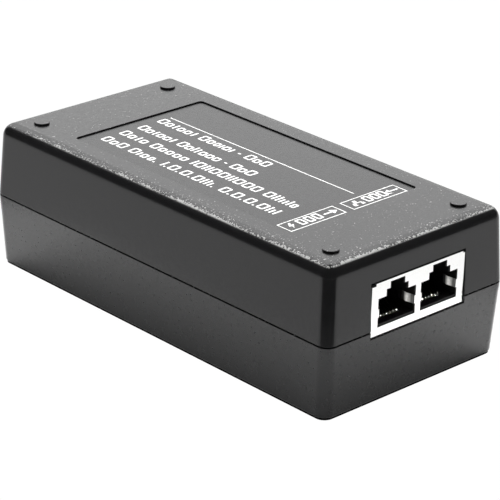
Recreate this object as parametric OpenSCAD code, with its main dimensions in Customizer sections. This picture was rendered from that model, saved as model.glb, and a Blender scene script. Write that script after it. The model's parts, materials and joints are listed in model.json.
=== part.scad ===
// PoE injector: a mains power supply and a two-port network jack in one black plastic case.
// Millimetres. +Z is up, the jacks face -Y, the mains inlet faces +Y, and the feet stand on Z = 0.

/* [Case] */
// Width of the case at its parting line
case_w = 59.5; // [59:0.5:61]
// Length of the case at its parting line
case_l = 120.5; // [120:0.5:122]
// Height of the two shells, without feet and pips
case_h = 37.7; // [37.2:0.1:38.5]
// Height of the lower shell, up to the parting line
lower_h = 18.77; // [18.4:0.01:19.1]
// Thickness of the shell walls
wall_t = 2; // [1.8:0.1:2.2]
// Draft angle of the upper shell
upper_draft = 2.95; // [2:0.1:3.5]
// Draft angle of the lower shell
lower_draft = 3; // [2.6:0.1:4]
// Radius of the upright corners
corner_r = 3; // [2.8:0.1:4]
// Radius of the edge round the top face
top_edge_r = 2.75; // [2.3:0.05:2.8]
// Radius of the edge round the bottom
bottom_edge_r = 0.8; // [0.4:0.1:1.5]
// Open width of the shadow line between the shells
shadow_gap = 0.3; // [0.2:0.05:0.5]

/* [Top face] */
// Width of the label
label_w = 42; // [38:1:44]
// Length of the label
label_l = 77; // [70:1:80]
// Depth of the recess that the label lies in
label_recess = 0.5; // [0.35:0.05:0.6]
// Corner radius of that recess
label_r = 1; // [0.6:0.1:2]
// Diameter of the moulded pips
pip_d = 4; // [3:0.5:5]
// Height of the moulded pips
pip_h = 0.5; // [0.3:0.1:1]

/* [Feet] */
// Diameter of the rubber feet
foot_d = 8; // [7:0.5:8.5]
// How far the feet stand out of the case
foot_h = 0.3; // [0.2:0.1:1.5]

/* [Network jack] */
// Distance between the two ports
port_pitch = 13.97; // [13.9:0.01:14.1]
// Width of each port
port_w = 12.25; // [12:0.05:12.4]
// Width of the shielded jack
jack_w = 30.7; // [30.5:0.1:31]
// Height of the shielded jack
jack_h = 13.2; // [13:0.1:13.4]
// Steepness of the contact springs at rest
spring_angle = 28; // [26:1:30]

/* [Mains inlet] */
// Width of the inlet housing
inlet_w = 27; // [26.6:0.1:27.2]
// Height of the inlet housing
inlet_h = 19.8; // [19.6:0.1:20]
// Depth of the inlet cavity
inlet_depth = 16.7; // [16:0.1:17]

/* [Hidden] */
$fn = 48;

eps = 0.01;

// Heights of the case
base_z = foot_h;
split_z = base_z + lower_h;
roof_z = base_z + case_h;
floor_z = base_z + wall_t;
upper_h = case_h - lower_h;

// Screw posts at the four corners
post_x = 21;
post_y = case_l / 2 - 8.5;
post_d = 9;
upper_post_d = 7;
head_seat_z = base_z + 11.7;

// Main board
board_t = 1.6;
board_z = base_z + 7.7;
board_top = board_z + board_t;
board_w = case_w - 7;
board_l = case_l - 7;
notch_x = post_x - post_d / 2 - 0.6;
notch_y = post_y - post_d / 2 - 0.6;
board_hole_x = 23;
rear_hole_y = 43.6;
spacer_y = -30;

// Network jack and its board
jack_z = base_z + 16.9;
jack_face_y = -(case_l / 2 - 0.55);
jack_back_y = jack_face_y + 17.3;
shield_t = 0.25;
lan_z = jack_z - board_t;
lan_rear_y = -24;
port_low_z = jack_z + 2.1;
port_floor_z = port_low_z + 0.5;
port_shoulder_z = jack_z + 9.2;
key_1_w = 7.1;
key_1_z = jack_z + 10.9;
key_2_w = 4.7;
key_2_z = jack_z + 12.5;
port_depth = 14;
plastic_inset = 0.2;
opening_side_gap = 0.25;
opening_low_gap = 0.1;
opening_top_gap = 0.35;

// Contacts
contact_pitch = 1.02;
contact_count = 8;
wire_r = 0.225;
bend_r = 0.3;
bend_y = jack_face_y + 3.55;
bend_z = port_floor_z - 0.15;
spring_l = 9.5;
lead_z = bend_z - 2 * bend_r;
tail_y = jack_face_y + 15;
tail_row = 2.5;
tail_z = lan_z - 1.3;
carrier_w = 8.7;
carrier_top_z = port_floor_z - 0.2;
slot_w = 0.56;

// Ground fingers of the shield
finger_z = jack_z + 4.5;
finger_h = 2.1;
finger_t = 0.2;
finger_root = [0.25, 0.42];
finger_apex = [0.65, 2.3];
finger_tip = [0.3, 4];
finger_lip = 0.35;

// Mains inlet
inlet_face_y = case_l / 2 - 0.9;
inlet_z = board_top + 0.3 + inlet_h / 2;
inlet_back_y = inlet_face_y - inlet_depth - 1.7;
cavity_w = 24.5;
cavity_h = 16.8;
cavity_chamfer = 4.5;
blade = [2, 4];
blade_pitch = 14;
blade_tip_gap = 2.3;
earth_rise = 4;
opening_gap = 0.2;

// Power parts
heatsink_y = 9;
sheet_t = 1.5;
diode_y = -13;
diode_x = -24.5;
transistor_x = -1;
to220_lead_h = 4;
to220_hole_h = 12.7;
transformer_xy = [7, -9];
bridge_x = 14.9;

// ---------------------------------------------------------------- shared shapes

// Upright block with rounded corners, its underside on Z = 0
module round_block(w, l, r, h) {
    linear_extrude(h) {
        square([w - 2 * r, l], center = true);
        square([w, l - 2 * r], center = true);
        for (x = [-1, 1], y = [-1, 1])
            translate([x * (w / 2 - r), y * (l / 2 - r)]) circle(r);
    }
}

// Block given by its lowest and highest corners
module span(low, high) {
    translate(low) cube(high - low);
}

// Two blocks mirrored about the plane X = 0
module both_sides() {
    children();
    mirror([1, 0, 0]) children();
}

// One copy at each corner post
module at_posts() {
    for (x = [-1, 1], y = [-1, 1]) translate([x * post_x, y * post_y, 0]) children();
}

// Lower shell's outer shape, drawn in from its skin by inset
module lower_shape(inset) {
    edge_r = max(bottom_edge_r - inset, 0);
    edge_z = base_z + inset + edge_r;
    taper = (split_z - edge_z) * tan(lower_draft);
    hull() {
        // Without a radius one ring is enough
        for (a = [edge_r > 0 ? 0 : 90:22.5:90]) {
            in = inset + taper + edge_r * (1 - cos(a));
            translate([0, 0, edge_z - edge_r * sin(a)])
                round_block(case_w - 2 * in, case_l - 2 * in,
                            corner_r - inset / 2 - edge_r * (1 - cos(a)), eps, $fn = 32);
        }
        translate([0, 0, split_z - eps])
            round_block(case_w - 2 * inset, case_l - 2 * inset, corner_r - inset / 2, eps, $fn = 32);
    }
}

// Upper shell's outer shape, with its rounded top edge, drawn in from its skin by inset
module upper_shape(inset) {
    edge_r = top_edge_r - inset;
    edge_z = roof_z - top_edge_r;
    slope = tan(upper_draft);
    hull() {
        translate([0, 0, split_z])
            round_block(case_w - 2 * inset, case_l - 2 * inset, corner_r - inset / 2, eps, $fn = 32);
        for (a = [0:15:90]) {
            z = edge_z + edge_r * sin(a);
            in = inset + slope * (edge_z - split_z) + edge_r * (1 - cos(a));
            translate([0, 0, z - eps])
                round_block(case_w - 2 * in, case_l - 2 * in,
                            corner_r - inset / 2 - edge_r * (1 - cos(a)) * 0.8, eps, $fn = 32);
        }
    }
}

// Case opening for the jack
module jack_opening() {
    span([-jack_w / 2 - opening_side_gap, -case_l / 2 - 1, jack_z - opening_low_gap],
         [jack_w / 2 + opening_side_gap, -case_l / 2 + wall_t + 2, jack_z + jack_h + opening_top_gap]);
}

// Case opening for the mains inlet
module inlet_opening() {
    span([-inlet_w / 2 - opening_gap, case_l / 2 - wall_t - 2, inlet_z - inlet_h / 2 - opening_gap],
         [inlet_w / 2 + opening_gap, case_l / 2 + 1, inlet_z + inlet_h / 2 + opening_gap]);
}

// Pan-head screw with its head's underside on Z = 0 and its shank down -Z
module pan_screw(shank_d, shank_l, head_d, head_h) {
    difference() {
        union() {
            cylinder(d = head_d, h = head_h);
            translate([0, 0, -shank_l]) cylinder(d = shank_d, h = shank_l + eps);
        }
        for (a = [0, 90]) rotate([0, 0, a])
            translate([-head_d * 0.32, -0.3, head_h * 0.45]) cube([head_d * 0.64, 0.6, head_h]);
    }
}

// Round lead standing from Z = low to Z = high
module lead(x, y, low, high, d = 0.7) {
    translate([x, y, low]) cylinder(d = d, h = high - low, $fn = 16);
}

// Disc part, such as a varistor, standing on two leads, with its axis along Y
module disc_part(d, t, lead_pitch, rise) {
    edge = t * 0.35;
    translate([0, 0, board_top + rise + d / 2]) rotate([90, 0, 0]) translate([0, 0, -t / 2])
        rotate_extrude() {
            square([d / 2 - edge, t]);
            translate([0, edge]) square([d / 2, t - 2 * edge]);
            for (h = [edge, t - edge]) translate([d / 2 - edge, h]) circle(edge, $fn = 24);
        }
    for (s = [-1, 1]) lead(s * lead_pitch / 2, 0, board_z - 1, board_top + rise + d / 2);
}

// Can of an electrolytic capacitor, upright from Z = 0, with its crimped neck near the foot
module can(d, h) {
    rotate_extrude() {
        square([d / 2 - 0.8, h]);
        square([d / 2, 1.8]);
        translate([0, 2.8]) square([d / 2, h - 3.6]);
        translate([d / 2 - 0.8, h - 0.8]) circle(0.8, $fn = 24);
    }
}

// Three-legged power part with its tab in the plane Y = 0 and its body towards -Y
module to220() {
    difference() {
        union() {
            span([-5, -1.3, to220_lead_h], [5, 0, to220_lead_h + 15.5]);
            span([-5, -4.5, to220_lead_h], [5, 0, to220_lead_h + 9]);
            for (i = [-1:1]) span([i * 2.54 - 0.4, -2.9, -2.6], [i * 2.54 + 0.4, -2.4, to220_lead_h + eps]);
        }
        translate([0, 1, to220_lead_h + to220_hole_h]) rotate([90, 0, 0]) cylinder(r = 1.8, h = 4);
    }
}

// Chip with gull-wing leads on its two Y sides, standing on Z = 0
module gull_chip(w, l, h, pitch, count, reach) {
    span([-w / 2, -l / 2, 0.15], [w / 2, l / 2, h]);
    for (i = [0:count - 1], s = [-1, 1]) {
        x = (i - (count - 1) / 2) * pitch;
        translate([x, s * l / 2, 0]) mirror([0, s < 0 ? 1 : 0, 0]) {
            span([-0.2, -0.05, h * 0.4], [0.2, reach * 0.5, h * 0.4 + 0.2]);
            span([-0.2, reach * 0.5 - 0.2, 0], [0.2, reach * 0.5, h * 0.4 + 0.2]);
            span([-0.2, reach * 0.5 - 0.2, 0], [0.2, reach, 0.2]);
        }
    }
}

// ---------------------------------------------------------------- case

module top_cover() color("#3c3c3c") {
    pilot_depth = 12;
    rib_x = inlet_w / 2 + 0.4;
    difference() {
        union() {
            difference() {
                upper_shape(0);
                upper_shape(wall_t);
                // Rebate that the lower shell's tongue enters
                translate([0, 0, split_z - 1]) round_block(case_w - wall_t, case_l - wall_t, corner_r - 1, 2.4);
                // Upper half of the shadow line
                translate([-case_w, -case_l, split_z - 1]) cube([2 * case_w, 2 * case_l, 1 + shadow_gap / 2]);
            }
            at_posts() translate([0, 0, split_z]) cylinder(d = upper_post_d, h = upper_h - wall_t / 2);
            at_posts() translate([0, 0, roof_z - 0.5]) cylinder(d = pip_d, h = pip_h + 0.5);
            both_sides() span([rib_x, case_l / 2 - 6.5, split_z + 1.5], [rib_x + 1.3, case_l / 2 - 4.7, roof_z - 1]);
        }
        at_posts() translate([0, 0, split_z - 1]) cylinder(d = 3, h = pilot_depth + 1);
        translate([0, 0, roof_z - label_recess]) round_block(label_w, label_l, label_r, 2);
        jack_opening();
        inlet_opening();
    }
}

module bottom_case() color("#444444") {
    tongue_h = 1.2;
    boss_top = board_z;
    difference() {
        union() {
            difference() {
                lower_shape(0);
                lower_shape(wall_t);
                // Lower half of the shadow line
                translate([-case_w, -case_l, split_z - shadow_gap / 2]) cube([2 * case_w, 2 * case_l, 2]);
            }
            // Tongue round the rim
            translate([0, 0, split_z - 1.5]) difference() {
                round_block(case_w - wall_t - 0.1, case_l - wall_t - 0.1, corner_r - 1, 1.5 + tongue_h);
                translate([0, 0, -1])
                    round_block(case_w - 2 * wall_t, case_l - 2 * wall_t, corner_r - 1.6, 4 + tongue_h);
            }
            at_posts() translate([0, 0, base_z + 0.5]) cylinder(d = post_d, h = lower_h - 0.5);
            for (x = [-1, 1], y = [spacer_y, rear_hole_y])
                translate([x * board_hole_x, y, base_z + 1]) cylinder(d = 5.5, h = boss_top - base_z - 1);
        }
        at_posts() {
            translate([0, 0, base_z - 1]) cylinder(d = foot_d + 0.4, h = 2);
            translate([0, 0, base_z]) cylinder(d = 6, h = head_seat_z - base_z);
            cylinder(d = 3.4, h = split_z + 1);
        }
        for (x = [-1, 1], y = [spacer_y, rear_hole_y])
            translate([x * board_hole_x, y, floor_z]) cylinder(d = 2.6, h = boss_top);
        jack_opening();
        inlet_opening();
    }
}

module rating_label() color("#4a4a4a")
    translate([0, 0, roof_z - label_recess]) round_block(label_w - 0.3, label_l - 0.3, label_r - 0.15, 0.15);

module case_screws() color("silver")
    at_posts() translate([0, 0, head_seat_z]) mirror([0, 0, 1]) pan_screw(2.9, 18, 5.4, 2);

module rubber_feet() color("#202020")
    at_posts() rotate_extrude() {
        square([foot_d / 2 - 0.6, foot_h + 1]);
        translate([0, 0.6]) square([foot_d / 2, foot_h + 0.4]);
        translate([foot_d / 2 - 0.6, 0.6]) circle(0.6, $fn = 24);
    }

// ---------------------------------------------------------------- network jack

// One port's stepped opening, cut along Y from the jack's face, with its sides drawn in by inset
module port_cut(depth, low_z, inset = 0) {
    for (step = [[port_w, port_shoulder_z], [key_1_w, key_1_z], [key_2_w, key_2_z]])
        span([-step[0] / 2 + inset, jack_face_y - 1, low_z],
             [step[0] / 2 - inset, jack_face_y + depth, step[1] - inset / 2]);
}

module at_ports() {
    for (s = [-1, 1]) translate([s * port_pitch / 2, 0, 0]) children();
}

module jack_shield() color("white") {
    low = [-jack_w / 2, jack_face_y, jack_z];
    high = [jack_w / 2, jack_back_y, jack_z + jack_h];
    inside = [shield_t, shield_t, 0];
    leg_y = jack_face_y + 9.5;
    difference() {
        span(low, high);
        span(low + inside - [0, 0, 1], high - [shield_t, shield_t, shield_t]);
        at_ports() port_cut(1, port_low_z);
        // Small reliefs where the sides are folded at the top corners
        for (s = [-1, 1])
            translate([s * (jack_w / 2 - 0.5), jack_face_y, high.z]) cube([1.2, 0.8, 0.8], center = true);
    }
    // Lips that the ground fingers are folded from
    at_ports() both_sides()
        span([port_w / 2 - finger_lip, jack_face_y, finger_z],
             [port_w / 2 + eps, jack_face_y + shield_t, finger_z + finger_h]);
    // Legs soldered into the board
    both_sides() span([jack_w / 2 - shield_t, leg_y - 0.8, tail_z], [jack_w / 2, leg_y + 0.8, jack_z + eps]);
}

module jack_housing() color("#181818") {
    gap = shield_t + 0.05;
    pocket = 0.6;
    peg_x = 13.2;
    difference() {
        union() {
            span([-jack_w / 2 + gap, jack_face_y + gap, jack_z],
                 [jack_w / 2 - gap, jack_back_y - gap, jack_z + jack_h - gap]);
            both_sides() translate([peg_x, jack_face_y + 6.5, lan_z + 0.2]) cylinder(r = 1.6, h = board_t);
        }
        at_ports() {
            port_cut(port_depth, port_floor_z, plastic_inset);
            // Room for the ground fingers to be pressed outwards
            both_sides() span([port_w / 2 - 1, jack_face_y - 1, finger_z - 0.3],
                              [port_w / 2 + pocket, jack_face_y + 5, finger_z + finger_h + 0.3]);
            // Seat of the contact carrier
            span([-carrier_w / 2 - 0.05, jack_face_y + 2.5, jack_z - 1],
                 [carrier_w / 2 + 0.05, jack_face_y + port_depth + 2, port_floor_z + 1]);
            span([-carrier_w / 2 - 0.05, jack_face_y + port_depth - 1, jack_z - 1],
                 [carrier_w / 2 + 0.05, jack_face_y + port_depth + 2, port_floor_z + 6.1]);
        }
    }
}

// One copy for each contact of a port, with its number from the left
module at_contacts() {
    for (i = [0:contact_count - 1]) {
        $row = i % 2;
        translate([(i - (contact_count - 1) / 2) * contact_pitch, 0, 0]) children();
    }
}

module contact_carriers() color("#1c1c1c")
    at_ports() difference() {
        union() {
            span([-carrier_w / 2, jack_face_y + 2.6, jack_z + 0.1],
                 [carrier_w / 2, jack_face_y + port_depth + 1.9, carrier_top_z]);
            span([-carrier_w / 2, jack_face_y + port_depth - 0.4, jack_z + 0.1],
                 [carrier_w / 2, jack_face_y + port_depth + 1.9, port_floor_z + 6]);
        }
        at_contacts() {
            y = tail_y - $row * tail_row;
            span([-slot_w / 2, jack_face_y, lead_z - 0.3], [slot_w / 2, y + 0.3, carrier_top_z + 1]);
            translate([0, y, jack_z - 1]) cylinder(d = slot_w, h = 3, $fn = 24);
        }
    }

// Fixed part of one port's contacts: the front bend, the run under the floor and the solder tail
module contact_leads()
    at_contacts() {
        y = tail_y - $row * tail_row;
        arc = 118;
        translate([0, bend_y, lead_z + bend_r]) rotate([90, 0, -90]) rotate([0, 0, 270])
            rotate_extrude(angle = arc) translate([bend_r, 0]) circle(wire_r, $fn = 16);
        translate([0, y, lead_z]) rotate([90, 0, 0]) cylinder(r = wire_r, h = y - bend_y, $fn = 16);
        translate([0, y, lead_z]) sphere(wire_r, $fn = 16);
        translate([0, y, tail_z]) cylinder(r = wire_r, h = lead_z - tail_z, $fn = 16);
    }

module port_1_contact_leads() color("gold") translate([-port_pitch / 2, 0, 0]) contact_leads();
module port_2_contact_leads() color("gold") translate([port_pitch / 2, 0, 0]) contact_leads();

// Moving part of one port's contacts: wires that slope up and back from the front bend
module contact_springs()
    at_contacts() translate([0, bend_y, bend_z]) {
        sphere(wire_r, $fn = 16);
        rotate([spring_angle - 90, 0, 0]) cylinder(r = wire_r, h = spring_l, $fn = 16);
        rotate([spring_angle - 90, 0, 0]) translate([0, 0, spring_l]) sphere(wire_r, $fn = 16);
    }

module port_1_contact_springs() color("gold") translate([-port_pitch / 2, 0, 0]) contact_springs();
module port_2_contact_springs() color("gold") translate([port_pitch / 2, 0, 0]) contact_springs();

// Ground finger at the port's +X wall: a thin leaf that bows into the port
module finger() {
    line = [for (p = [finger_root, finger_apex, finger_tip]) [port_w / 2 - p.x, jack_face_y + p.y]];
    half = [finger_t / 2, 0];
    translate([0, 0, finger_z]) linear_extrude(finger_h)
        polygon(concat([for (p = line) p - half], [for (i = [2:-1:0]) line[i] + half]));
}

module port_1_left_finger() color("silver")
    translate([-port_pitch / 2, 0, 0]) mirror([1, 0, 0]) finger();
module port_1_right_finger() color("silver") translate([-port_pitch / 2, 0, 0]) finger();
module port_2_left_finger() color("silver")
    translate([port_pitch / 2, 0, 0]) mirror([1, 0, 0]) finger();
module port_2_right_finger() color("silver") translate([port_pitch / 2, 0, 0]) finger();

// ---------------------------------------------------------------- network board

module lan_pcb() color("darkgreen") {
    front_y = -(board_l / 2 + 0.3);
    difference() {
        union() {
            span([-notch_x, front_y, lan_z], [notch_x, lan_rear_y, jack_z]);
            span([-board_w / 2, -notch_y, lan_z], [board_w / 2, lan_rear_y, jack_z]);
        }
        both_sides() translate([board_hole_x, spacer_y, lan_z - 1]) cylinder(d = 2.9, h = 4);
        // Holes for the jack's pegs, shield legs and contact tails
        both_sides() translate([13.2, jack_face_y + 6.5, lan_z - 1]) cylinder(r = 1.65, h = 4);
        both_sides() translate([jack_w / 2 - shield_t / 2, jack_face_y + 9.5, lan_z - 1])
            linear_extrude(4) square([0.5, 1.9], center = true);
        at_ports() at_contacts() translate([0, tail_y - $row * tail_row, lan_z - 1])
            cylinder(d = 0.6, h = 4, $fn = 24);
        header_holes(lan_z);
    }
}

header_count = 8;
header_pitch = 2.54;
header_y = -26;

module at_header() {
    for (i = [0:header_count - 1])
        translate([(i - (header_count - 1) / 2) * header_pitch, header_y, 0]) children();
}

module header_holes(z) {
    at_header() translate([-0.4, -0.4, z - 1]) cube([0.8, 0.8, 4]);
}

module lan_magnetics() color("#222222")
    for (s = [-1, 1]) translate([s * 8.7, -34.6, jack_z]) gull_chip(15.2, 10.6, 5.7, 1.27, 12, 1.4);

module pse_controller() color("#262626")
    translate([21.2, -39.6, jack_z]) gull_chip(8.6, 4, 1.6, 1.27, 7, 1.2);

module lan_board_resistors() color("#2b2b2b")
    for (i = [0:3], j = [0:1]) translate([-26 + i * 2.4, -44 + j * 5, jack_z]) {
        span([0, 0, 0], [1.6, 3.2, 0.6]);
    }

module board_header() color("#151515")
    difference() {
        span([-header_count * header_pitch / 2, header_y - 1.25, board_top],
             [header_count * header_pitch / 2, header_y + 1.25, board_top + 2.5]);
        header_holes(board_top + 0.5);
    }

module header_pins() color("gold")
    at_header() span([-0.32, -0.32, board_z - 1], [0.32, 0.32, jack_z + 1]);

module board_spacers() color("ivory")
    both_sides() translate([board_hole_x, spacer_y, board_top]) difference() {
        cylinder(d = 5, h = lan_z - board_top);
        translate([0, 0, -1]) cylinder(d = 2.9, h = 10);
    }

module lan_board_screws() color("silver")
    both_sides() translate([board_hole_x, spacer_y, jack_z]) pan_screw(2.5, 12.5, 4.8, 1.6);

// ---------------------------------------------------------------- main board

module main_pcb() color("#b08d4f")
    difference() {
        union() {
            span([-notch_x, -board_l / 2, board_z], [notch_x, board_l / 2, board_top]);
            span([-board_w / 2, -notch_y, board_z], [board_w / 2, notch_y, board_top]);
        }
        for (y = [spacer_y, rear_hole_y])
            both_sides() translate([board_hole_x, y, board_z - 1]) cylinder(d = 2.9, h = 4);
        header_holes(board_z);
        power_lead_holes();
    }

// Holes for the leads of the parts on the main board
module power_lead_holes() {
    module hole(x, y, d = 1.1) translate([x, y, board_z - 1]) cylinder(d = d, h = 4, $fn = 24);
    for (s = [-1, 1]) {
        hole(fuse_xy.x + s * 2.5, fuse_xy.y);
        hole(ntc_xy.x + s * 2.5, ntc_xy.y);
        hole(varistor_xy.x + s * 3.75, varistor_xy.y);
        hole(x_cap_xy.x + s * 7.5, x_cap_xy.y);
        hole(bulk_x + s * 3.75, bulk_y1 + 2);
        hole(y_cap_xy.x, y_cap_xy.y + s * 3.75);
        for (y = output_cap_y) hole(output_cap_x + s * 2.5, y);
        for (t = [-1, 1]) hole(choke_xy.x + s * 5, choke_xy.y + t * 3.5);
        for (i = [0:5]) hole(transformer_xy.x + (i - 2.5) * 3.6, transformer_xy.y + s * 11.5);
        hole(output_choke_xy.x + s * 3, output_choke_xy.y);
        for (t = [-1, 1]) hole(opto_xy.x + s * 3.3, opto_xy.y + t * 1.27, 0.9);
    }
    for (i = [0:3]) hole(bridge_x + (i - 1.5) * 5.08, heatsink_y + sheet_t + 2, 1.6);
    for (i = [-1:1]) {
        hole(transistor_x + i * 2.54, heatsink_y - 2.65, 1.3);
        hole(diode_x + 2.65, diode_y + i * 2.54, 1.3);
    }
    for (x = [-1, 0, 1]) hole(x * blade_pitch / 2, inlet_back_y - 0.4, 2.6);
}

fuse_xy = [21.4, 36.6];
ntc_xy = [9.2, 36.6];
varistor_xy = [-2.6, 36.6];
x_cap_xy = [-17.2, 35.7];
choke_xy = [14, 23.6];
bulk_x = -15.6;
bulk_y0 = -2;
bulk_y1 = 27.5;
output_cap_x = -13;
output_cap_y = [-18.6, -8.2];
output_choke_xy = [-14.5, -35];
y_cap_xy = [23.6, -10];
opto_xy = [22.6, 1.2];

module main_board_screws() color("silver")
    both_sides() translate([board_hole_x, rear_hole_y, board_top]) pan_screw(2.5, 4.8, 4.8, 1.6);

// Sheet on the floor, cut back round the posts and in front of the rear bosses
module insulating_sheet() color("ivory")
    difference() {
        union() {
            span([-notch_x + 0.3, -board_l / 2, floor_z], [notch_x - 0.3, board_l / 2, floor_z + 0.4]);
            span([-board_w / 2, -notch_y + 0.3, floor_z], [board_w / 2, rear_hole_y - 3.2, floor_z + 0.4]);
        }
        both_sides() translate([board_hole_x, spacer_y, floor_z - 1]) cylinder(d = 6, h = 3);
    }

// ---------------------------------------------------------------- mains inlet

// Cross-section of the cavity, in X and Z about the inlet's centre
module cavity_outline() {
    w = cavity_w / 2;
    h = cavity_h / 2;
    polygon([[-w, -h], [w, -h], [w, h - cavity_chamfer], [w - cavity_chamfer, h],
             [-w + cavity_chamfer, h], [-w, h - cavity_chamfer]]);
}

module ac_inlet_body() color("#1a1a1a") {
    flange_y = case_l / 2 - 4.5;
    difference() {
        union() {
            span([-inlet_w / 2, inlet_back_y, inlet_z - inlet_h / 2],
                 [inlet_w / 2, inlet_face_y, inlet_z + inlet_h / 2]);
            span([-inlet_w / 2 - 1.7, flange_y, inlet_z - inlet_h / 2],
                 [inlet_w / 2 + 1.7, flange_y + 1.6, inlet_z + inlet_h / 2 + 1.5]);
        }
        translate([0, inlet_face_y + 1, inlet_z]) rotate([90, 0, 0])
            linear_extrude(inlet_depth + 1) cavity_outline();
        for (x = [-1, 1]) blade_slot(x * blade_pitch / 2, inlet_z - earth_rise / 2);
        blade_slot(0, inlet_z + earth_rise / 2);
    }
}

module blade_slot(x, z) {
    span([x - blade.x / 2 - 0.04, inlet_back_y - 1, z - blade.y / 2 - 0.04],
         [x + blade.x / 2 + 0.04, inlet_back_y + 4, z + blade.y / 2 + 0.04]);
}

// Blade with a bevelled tip, and a tail bent down into the board
module inlet_blade(x, z, tip_y) {
    translate([x - blade.x / 2, 0, 0]) rotate([90, 0, 90]) linear_extrude(blade.x)
        polygon([[inlet_back_y - 0.8, z - blade.y / 2], [tip_y - 1, z - blade.y / 2],
                 [tip_y, z - blade.y / 2 + 1], [tip_y, z + blade.y / 2 - 1],
                 [tip_y - 1, z + blade.y / 2], [inlet_back_y - 0.8, z + blade.y / 2]]);
    span([x - blade.x / 2, inlet_back_y - 0.8, board_z - 1], [x + blade.x / 2, inlet_back_y - 0.05, z]);
}

module inlet_power_pins() color("silver")
    for (x = [-1, 1])
        inlet_blade(x * blade_pitch / 2, inlet_z - earth_rise / 2, inlet_face_y - blade_tip_gap - 1);

module inlet_earth_pin() color("silver")
    inlet_blade(0, inlet_z + earth_rise / 2, inlet_face_y - blade_tip_gap);

// ---------------------------------------------------------------- mains side

module fuse() color("saddlebrown") translate([fuse_xy.x, fuse_xy.y, 0]) {
    translate([0, 0, board_top + 0.3]) cylinder(d = 8.5, h = 8);
    for (s = [-1, 1]) lead(s * 2.5, 0, board_z - 1, board_top + 1);
}

module ntc_thermistor() color("#2f4f3f") translate([ntc_xy.x, ntc_xy.y, 0]) disc_part(9, 4.5, 5, 2);

module varistor() color("royalblue") translate([varistor_xy.x, varistor_xy.y, 0]) disc_part(10, 4, 7.5, 2);

module x_capacitor() color("goldenrod") translate([x_cap_xy.x, x_cap_xy.y, 0]) {
    translate([0, 0, board_top + 0.2]) round_block(17.5, 8.5, 0.8, 14.5);
    for (s = [-1, 1]) lead(s * 7.5, 0, board_z - 1, board_top + 1);
}

choke_z = board_top + 12.6;

// Ring section of the choke's core, grown by the winding's thickness
module choke_ring(grow, angle = 360) {
    rotate_extrude(angle = angle) translate([5 - grow, -4 - grow]) square([4.5 + 2 * grow, 8 + 2 * grow]);
}

module choke_core() color("#3f5f3f")
    translate([choke_xy.x, choke_xy.y, choke_z]) rotate([90, 0, 0]) choke_ring(0);

module choke_windings() color("#b5651d") {
    half = 68;
    // Left and right windings, each wrapped round the core
    for (a = [0, 180]) translate([choke_xy.x, choke_xy.y, choke_z]) rotate([90, 0, 0])
        rotate([0, 0, a - half]) difference() {
            choke_ring(1, 2 * half);
            rotate([0, 0, -1]) choke_ring(0.05, 2 * half + 2);
        }
    for (s = [-1, 1], t = [-1, 1])
        translate([choke_xy.x + s * 5, choke_xy.y + t * 3.5, board_z - 1])
            cylinder(d = 0.8, h = 6.4, $fn = 16);
}

module choke_base() color("#202020")
    translate([choke_xy.x, choke_xy.y, board_top]) difference() {
        translate([-9, -5, 0]) cube([18, 10, 3.5]);
        translate([0, 0, choke_z - board_top]) rotate([90, 0, 0]) cylinder(r = 10.6, h = 12, center = true);
        for (s = [-1, 1], t = [-1, 1]) translate([s * 5, t * 3.5, -1]) cylinder(d = 1, h = 6, $fn = 24);
    }

module bridge_rectifier() color("#1e1e1e") {
    body_z = board_top + 3.4;
    y = heatsink_y + sheet_t;
    span([bridge_x - 11, y, body_z], [bridge_x + 9, y + 3.6, body_z + 18.5]);
    span([bridge_x - 11, y, body_z], [bridge_x + 11, y + 3.6, body_z + 16.5]);
    for (i = [0:3]) {
        x = bridge_x + (i - 1.5) * 5.08;
        span([x - 0.5, y + 1.7, board_z - 1], [x + 0.5, y + 2.3, body_z + eps]);
    }
}

module bulk_capacitor() color("#1d2a4a") {
    axis_z = board_top + 9.3;
    translate([bulk_x, bulk_y1, axis_z]) rotate([90, 0, 0]) can(18, bulk_y1 - bulk_y0);
    for (s = [-1, 1]) {
        translate([bulk_x + s * 3.75, bulk_y1 + 2, axis_z]) rotate([90, 0, 0])
            cylinder(d = 0.8, h = 2 + eps, $fn = 16);
        translate([bulk_x + s * 3.75, bulk_y1 + 2, axis_z]) sphere(d = 0.8, $fn = 16);
        lead(bulk_x + s * 3.75, bulk_y1 + 2, board_z - 1, axis_z, 0.8);
    }
}

module primary_heatsink() color("lightgray") {
    high_z = board_top + 23.4;
    difference() {
        union() {
            span([-6.1, heatsink_y, board_top + 0.2], [25.9, heatsink_y + sheet_t, high_z]);
            span([-6.1, heatsink_y - 6, high_z - sheet_t], [25.9, heatsink_y + sheet_t, high_z]);
        }
        translate([transistor_x, heatsink_y - 1, board_top + to220_lead_h + to220_hole_h])
            rotate([-90, 0, 0]) cylinder(r = 1.55, h = 4);
    }
}

module switching_transistor() color("#242424")
    translate([transistor_x, heatsink_y, board_top]) to220();

module heatsink_screws() color("silver") {
    z = board_top + to220_lead_h + to220_hole_h;
    translate([transistor_x, heatsink_y - 1.3, z]) rotate([90, 0, 0]) pan_screw(3, 4, 5.4, 2);
    translate([diode_x + 1.3, diode_y, z]) rotate([0, 90, 0]) pan_screw(3, 3.2, 5.4, 2);
}

// ---------------------------------------------------------------- isolated side

core_z = board_top + 3.8;
core_plate = 4.5;
window_h = 10;

module transformer_core() color("#4a4a4a")
    translate([transformer_xy.x, transformer_xy.y, core_z]) for (half = [0, 1])
        translate([0, 0, core_plate + window_h / 2]) mirror([0, 0, half])
            translate([0, 0, 0.03]) {
                both_sides() span([10.9, -9, 0], [13, 9, window_h / 2 + core_plate]);
                span([-13, -9, window_h / 2], [13, 9, window_h / 2 + core_plate]);
                cylinder(r = 5.5, h = window_h / 2 + 1);
            }

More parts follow.
